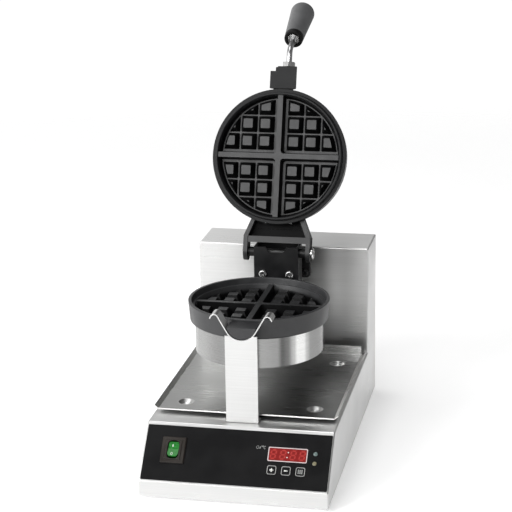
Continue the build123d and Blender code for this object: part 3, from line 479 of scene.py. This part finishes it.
def grip_material():
    """Dark grey plastic with a black cup round the nut at its lower end."""
    m = moulded("grip_plastic", (0.085, 0.086, 0.088), (0.110, 0.111, 0.113), 0.40)
    body = m.past(m.distance(middle("grip_nut")), GRIP_CUP_RADIUS, 0.0003)
    m.set(Base_Color=m.mix(body, grey(0.006), m.base_colour()))
    return m.set(Specular_IOR_Level=m.between(body, 0.1, 0.4))


def lens(name, low, high, rough=0.30):
    """Clear coloured plastic with fine cells behind its face."""
    m = Maker(name).set(Coat_Weight=0.12, Coat_Roughness=0.12, Specular_IOR_Level=0.25)
    cells = m.noise(700.0, 1.0)
    m.set(Base_Color=m.tint(cells, low, high), Roughness=m.spread(cells, rough, rough + 0.1))
    m.bump(cells, 0.1, 0.0001)
    return m


def lamp_material():
    """Two unlit lenses: the upper one grey green, the lower one yellowish."""
    m = Maker("lamp_lens").set(Coat_Weight=0.6, Coat_Roughness=0.08, Roughness=0.25)
    upper = m.past(m.dot(SLOPE_RUN), middle("lamps").dot(SLOPE_RUN))
    cells = m.noise(900.0, 1.0)
    yellow = m.tint(cells, (0.15, 0.14, 0.08), (0.23, 0.21, 0.13))
    green = m.tint(cells, (0.09, 0.13, 0.125), (0.15, 0.20, 0.19))
    return m.set(Base_Color=m.mix(upper, yellow, green))


def ink(name, low, high, rough=0.55):
    """Ink, which is too thin to have rounded edges."""
    return moulded(name, low, high, rough, edge=0)


# ---------------------------------------------------------------- which piece has which material
MAKERS = (
    brushed("stainless", STEEL, 0.34),
    housing_material(),
    brushed("stainless_band", (0.60, 0.60, 0.59), 0.30),
    turned_band("lower_band", 0, -PLATE_MIDDLE, 0),
    turned_band("upper_band", OPEN, UPPER_SHIFT, math.radians(40)),
    strip_material(),
    tray_material(),
    bolt_material(),
    machined("brass_post", (0.72, 0.52, 0.22), 0.28),
    machined("core_steel", (0.42, 0.42, 0.41), 0.38),
    machined("bright_screw", (0.52, 0.52, 0.515), 0.24),
    machined("chrome", (0.48, 0.48, 0.485), 0.30),
    coated("black_paint", (0.005, 0.005, 0.0055), (0.009, 0.009, 0.0095), 0.36, 1400.0, 0.22, 0.35),
    casting("coated_casting", (0.010, 0.0102, 0.011), (0.016, 0.0163, 0.017)),
    # The last two numbers give the rim's painted light and its gloss.
    plate_material("lower_casting", 0, -PLATE_MIDDLE, (0, 0, 1), 1.7, 0.5),
    plate_material("upper_casting", OPEN, UPPER_SHIFT, LID_OUT, 0.8, 0.16),
    arm_material(),
    moulded("rubber", grey(0.018), grey(0.028), 0.75, depth=0.3),
    panel_material(),
    moulded("switch_black", (0.013, 0.010, 0.008), (0.021, 0.017, 0.014), 0.36, gloss=0.3),
    moulded("light_frame", (0.52, 0.44, 0.44), (0.62, 0.54, 0.54), 0.5),
    moulded("module_black", grey(0.02), grey(0.03), 0.5),
    moulded("board_green", (0.012, 0.09, 0.03), (0.02, 0.13, 0.05), 0.4),
    moulded("terminal_plastic", (0.62, 0.58, 0.48), (0.70, 0.66, 0.56), 0.45),
    moulded("gland_plastic", grey(0.022), grey(0.034), 0.5),
    moulded("fibre", (0.60, 0.57, 0.50), (0.74, 0.72, 0.66), 0.9, depth=0.8, size=500.0),
    grip_material(),
    lens("green_rocker", (0.006, 0.10, 0.012), (0.016, 0.20, 0.024)),
    lens("red_window", (0.17, 0.004, 0.004), (0.21, 0.006, 0.005)),
    lamp_material(),
    ink("print_white", (0.62, 0.62, 0.60), (0.72, 0.72, 0.70)),
    ink("print_pale", (0.40, 0.40, 0.39), (0.48, 0.48, 0.47)),
    ink("print_grey", (0.30, 0.31, 0.30), (0.38, 0.39, 0.38)),
    ink("segment_red", (0.30, 0.012, 0.008), (0.35, 0.016, 0.011), 0.5),
)
MATERIALS = {maker.name: maker.material for maker in MAKERS}
OWN_FINISH = {
    "housing_shell": "housing_steel",
    "lower_band": "lower_band",
    "upper_band": "upper_band",
    "support_strip": "strip_steel",
    "saddle": "strip_steel",
    "drip_tray": "tray_steel",
    "lower_plate": "lower_casting",
    "upper_plate": "upper_casting",
    "hinge_arm": "arm_casting",
    "hinge_bolt": "bolt_zinc",
}


def paint(obj, name):
    """Gives an object one of the materials above."""
    obj.data.materials.clear()
    obj.data.materials.append(MATERIALS[name])


def paint_cad():
    """Each CAD node gets its own finish, or else the material of its slot in the record."""
    for part in frame["record"]["subparts"]:
        name = part["node"]
        paint(nodes[name], OWN_FINISH.get(name, part["material_slot"]))


# ---------------------------------------------------------------- outlines on the slope, in millimetres
MITRE_LIMIT = 0.4


def line(points, width, closed=False):
    """A flat line of that width through the points, as quads."""
    count = len(points)
    left, right = [], []
    for i, (x, y) in enumerate(points):
        before = points[i - 1] if closed or i else points[i]
        after = points[(i + 1) % count] if closed or i < count - 1 else points[i]
        a = Vector((x - before[0], y - before[1]))
        b = Vector((after[0] - x, after[1] - y))
        a, b = (a or b).normalized(), (b or a).normalized()
        across = (a + b).normalized()
        across = Vector((-across.y, across.x)) * (width / 2 / max(MITRE_LIMIT, across.dot(a)))
        left.append((x + across.x, y + across.y))
        right.append((x - across.x, y - across.y))
    last = count if closed else count - 1
    return [[left[i], left[(i + 1) % count], right[(i + 1) % count], right[i]] for i in range(last)]


def arc(cx, cy, rx, ry, start, end, steps):
    """Points along part of an oval, from one angle to another in degrees."""
    turns = [math.radians(start + (end - start) * i / steps) for i in range(steps + 1)]
    return [(cx + rx * math.cos(t), cy + ry * math.sin(t)) for t in turns]


def oval(cx, cy, rx, ry, count):
    """That many points, evenly round an oval."""
    return arc(cx, cy, rx, ry, 0, 360 - 360 / count, count - 1)


def rounded(cx, cy, size, r):
    """A square with rounded corners."""
    points = []
    reach = size / 2 - r
    for dx, dy, start in ((1, 1, 0), (-1, 1, 90), (-1, -1, 180), (1, -1, 270)):
        points += arc(cx + dx * reach, cy + dy * reach, r, r, start, start + 90, 5)
    return points


# ---------------------------------------------------------------- marks printed on the sloping front
INK_THICKNESS = 0.04 * MM
INK_HEIGHT = 0.02 * MM
ABOVE_SLOPE = 30 * MM

# In millimetres across and along the slope. The digits are placed from the display's middle.
KEY_OUTLINE = 11.2
KEY_CORNER = 2.2
DIGIT_LEAN = 0.14
DIGITS = (-18.8, -6.4, 7.0, 19.0)
LABEL_MIDDLE = 56.4
ROCKER_MARKS = -85.2


@cache
def surface(node):
    """A CAD node's faces, ready for ray casts."""
    return BVHTree.FromObject(nodes[node], bpy.context.evaluated_depsgraph_get())


def on_surface(x, s, node):
    """The point of a CAD node's outer face over (x, s) on the slope, in millimetres along it."""
    start = SLOPE_START + Vector((x * MM, 0, 0)) + SLOPE_RUN * s * MM + SLOPE_OUT * ABOVE_SLOPE
    hit = surface(node).ray_cast(start, -SLOPE_OUT)[0]
    return hit + SLOPE_OUT * INK_HEIGHT


def slope_middle(node):
    """Where a CAD node's middle lies on the slope, to a tenth of a millimetre."""
    place = middle(node)
    return round(place.x / MM, 1), round((place - SLOPE_START).dot(SLOPE_RUN) / MM, 1)


def printed(name, shapes, node, body, material):
    """A thin layer of ink that lies on a CAD node's face."""
    mesh = bmesh.new()
    for shape in shapes:
        mesh.faces.new([mesh.verts.new(on_surface(x, s, node)) for x, s in shape])
    bmesh.ops.remove_doubles(mesh, verts=mesh.verts, dist=1e-7)
    bmesh.ops.recalc_face_normals(mesh, faces=mesh.faces)
    data = bpy.data.meshes.new(name)
    mesh.to_mesh(data)
    mesh.free()
    obj = bpy.data.objects.new(name, data)
    bpy.context.scene.collection.objects.link(obj)
    layer = obj.modifiers.new("layer", "SOLIDIFY")
    layer.thickness = INK_THICKNESS
    layer.offset = 0
    paint(obj, material)
    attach(obj, body)


def digit(cx, cy):
    """The seven unlit bars of one digit, leaning to the right."""
    half_width, half_height, thick, gap = 3.1, 5.8, 1.9, 0.7
    ends = [((-half_width, y), (half_width, y)) for y in (half_height, 0, -half_height)]
    ends += [((x, y), (x, y - half_height)) for x in (-half_width, half_width) for y in (half_height, 0)]
    bars = []
    for a, b in ends:
        a, b = Vector(a), Vector(b)
        along = (b - a).normalized() * gap
        tip = Vector((-along.y, along.x)).normalized() * thick / 2
        a, b = a + along, b - along
        back, fore = a + along * 0.5, b - along * 0.5
        outline = [a, back + tip, fore + tip, b, fore - tip, back - tip]
        bars.append([(cx + p.x + p.y * DIGIT_LEAN, cy + p.y) for p in outline])
    return bars


def print_display():
    """Four unlit digits, and the two dots between them."""
    x, s = slope_middle("display_window")
    bars = [bar for place in DIGITS for bar in digit(x + place, s)]
    printed("display_digits", bars, "display_window", "base", "segment_red")
    dot_radius = 0.8
    dots = [oval(x + up * DIGIT_LEAN, s + up, dot_radius, dot_radius, 12) for up in (3.4, -3.4)]
    printed("display_colon", dots, "display_window", "base", "print_white")


def print_keys():
    """A square round each key, with a plus, a minus and rows of short bars."""
    for node in ("key_plus", "key_minus", "key_set"):
        outline = line(rounded(*slope_middle(node), KEY_OUTLINE, KEY_CORNER), 0.62, True)
        printed(f"{node}_outline", outline, node, node, "print_pale")
    x, s = slope_middle("key_plus")
    reach, width = 2.5, 0.8
    plus = line([(x - reach, s), (x + reach, s)], width)
    plus += line([(x, s - reach), (x, s - width / 2)], width)
    plus += line([(x, s + width / 2), (x, s + reach)], width)
    printed("key_plus_sign", plus, "key_plus", "key_plus", "print_white")
    x, s = slope_middle("key_minus")
    minus = line([(x - 2.4, s), (x + 2.4, s)], 0.85)
    printed("key_minus_sign", minus, "key_minus", "key_minus", "print_white")
    x, s = slope_middle("key_set")
    bars = []
    half_bar = 0.85
    for up in (-2.3, -0.8, 0.7, 2.2):
        for across in (-2.3, 0, 2.3):
            bars += line([(x + across - half_bar, s + up), (x + across + half_bar, s + up)], 0.55)
    printed("key_set_sign", bars, "key_set", "key_set", "print_grey")


def print_label():
    """An oval, a slash, a small ring and a C beside the display."""
    zero_x, slash_x, degree_x, letter_x = 26.6, 30.3, 33.2, 36.2
    half_width, half_height = 1.5, 1.9
    degree = line(oval(degree_x, LABEL_MIDDLE + 1.5, 0.75, 0.75, 12), 0.35, True)
    letter = line(arc(letter_x, LABEL_MIDDLE, half_width, half_height, 55, 305, 14), 0.4)
    slash = line([(slash_x - 0.9, LABEL_MIDDLE - 1.8), (slash_x + 0.9, LABEL_MIDDLE + 2.0)], 0.35)
    zero = line(oval(zero_x, LABEL_MIDDLE, half_width, half_height, 16), 0.38, True)
    printed("temperature_mark", degree + letter + slash + zero, "front_panel", "base", "print_grey")


def print_rocker():
    """A stroke at the rocker's upper end, and an oval at its lower end."""
    on_start, on_end, off_middle = 48.8, 52.2, 38.6
    on_mark = line([(ROCKER_MARKS, on_start), (ROCKER_MARKS, on_end)], 0.7)
    printed("rocker_on_mark", on_mark, "rocker", "rocker", "print_white")
    off_mark = line(oval(ROCKER_MARKS, off_middle, 1.2, 1.7, 16), 0.5, True)
    printed("rocker_off_mark", off_mark, "rocker", "rocker", "print_white")


# ---------------------------------------------------------------- camera, lights and floor
CAMERA_PLACE = (0.4379, -2.1462, 0.9137)
CAMERA_TURN = math.radians(11.797)
CAMERA_TILT = math.radians(16.352)
CAMERA_ROLL = math.radians(-0.874)
CAMERA_LENS = 117.47
SENSOR_WIDTH = 36
BACKDROP_STRENGTH = 1.3

# The studio's strength on the left and the right, and at the horizon and overhead.
STUDIO_SIDES = (1.25, 0.38)
STUDIO_HEIGHTS = (1.0, 0.30)

# The floor fades out between two distances from the origin.
FLOOR_RADIUS = 3.0
FLOOR_FADE = (0.9, 2.8)


def make_camera():
    """Looks down at the object from the front and a little from the right, through a long lens."""
    data = bpy.data.cameras.new("camera")
    data.lens = CAMERA_LENS
    data.sensor_width = SENSOR_WIDTH
    camera = bpy.data.objects.new("camera", data)
    turn = Matrix.Rotation(CAMERA_TURN, 4, "Z")
    tilt = Matrix.Rotation(math.pi / 2 - CAMERA_TILT, 4, "X")
    roll = Matrix.Rotation(CAMERA_ROLL, 4, "Z")
    camera.matrix_world = Matrix.Translation(CAMERA_PLACE) @ turn @ tilt @ roll
    bpy.context.scene.collection.objects.link(camera)
    bpy.context.scene.camera = camera


def make_light(name, place, target, size, power):
    """A soft box that shines from a place towards a target."""
    data = bpy.data.lights.new(name, "AREA")
    data.shape = "RECTANGLE"
    data.size, data.size_y = size
    data.energy = power
    light = bpy.data.objects.new(name, data)
    light.location = place
    light.rotation_euler = (Vector(target) - Vector(place)).to_track_quat("-Z", "Y").to_euler()
    light.visible_camera = False
    bpy.context.scene.collection.objects.link(light)


def make_world():
    """A studio that is darker on the right and overhead. The camera itself sees a white backdrop."""
    world = bpy.data.worlds.new("studio")
    world.use_nodes = True
    world.node_tree.nodes.clear()
    graph = Graph(world.node_tree)
    sideways = graph.spread(graph.axis("X", "Generated"), *STUDIO_SIDES, -0.34, 0.04, "SMOOTHSTEP")
    upwards = graph.spread(graph.axis("Z", "Generated"), *STUDIO_HEIGHTS, 0.25, 0.85, "SMOOTHSTEP")
    studio = graph.node("ShaderNodeBackground")
    graph.link(graph.maths("MULTIPLY", sideways, upwards), studio.inputs["Strength"])
    backdrop = graph.node("ShaderNodeBackground")
    backdrop.inputs["Strength"].default_value = BACKDROP_STRENGTH
    seen = graph.node("ShaderNodeLightPath")
    choice = graph.node("ShaderNodeMixShader")
    graph.link(seen.outputs["Is Camera Ray"], choice.inputs["Fac"])
    graph.link(studio.outputs[0], choice.inputs[1])
    graph.link(backdrop.outputs[0], choice.inputs[2])
    graph.link(choice.outputs[0], graph.node("ShaderNodeOutputWorld").inputs["Surface"])
    bpy.context.scene.world = world


def make_floor():
    """A pale round floor whose edge fades into the white backdrop."""
    bpy.ops.mesh.primitive_circle_add(vertices=96, radius=FLOOR_RADIUS, fill_type="NGON")
    floor = bpy.context.object
    floor.name = "studio_floor"
    m = Maker("studio_floor").set(Roughness=0.8, Emission_Color=grey(1.0), Emission_Strength=0.38)
    m.set(Base_Color=m.tint(m.noise(3.0, 2.0), grey(0.94), grey(0.96)))
    m.set(Alpha=m.fall(m.vector_maths("LENGTH", m.place.outputs["Object"]), *FLOOR_FADE))
    floor.data.materials.append(m.material)


# ---------------------------------------------------------------- the scene
make_camera()
make_world()
make_light("key", place=(-1.8, -1.9, 1.5), target=(0, 0, 0.2), size=(1.3, 1.3), power=56)
make_light("front", place=(-0.2, -3.6, 2.1), target=(0, 0, 0.3), size=(1.6, 0.9), power=40)
make_light("top", place=(-0.3, 0.0, 2.6), target=(0, 0, 0.1), size=(1.6, 1.2), power=22)
make_floor()
paint_cad()
print_display()
print_keys()
print_label()
print_rocker()
bpy.context.scene.view_settings.view_transform = "Standard"
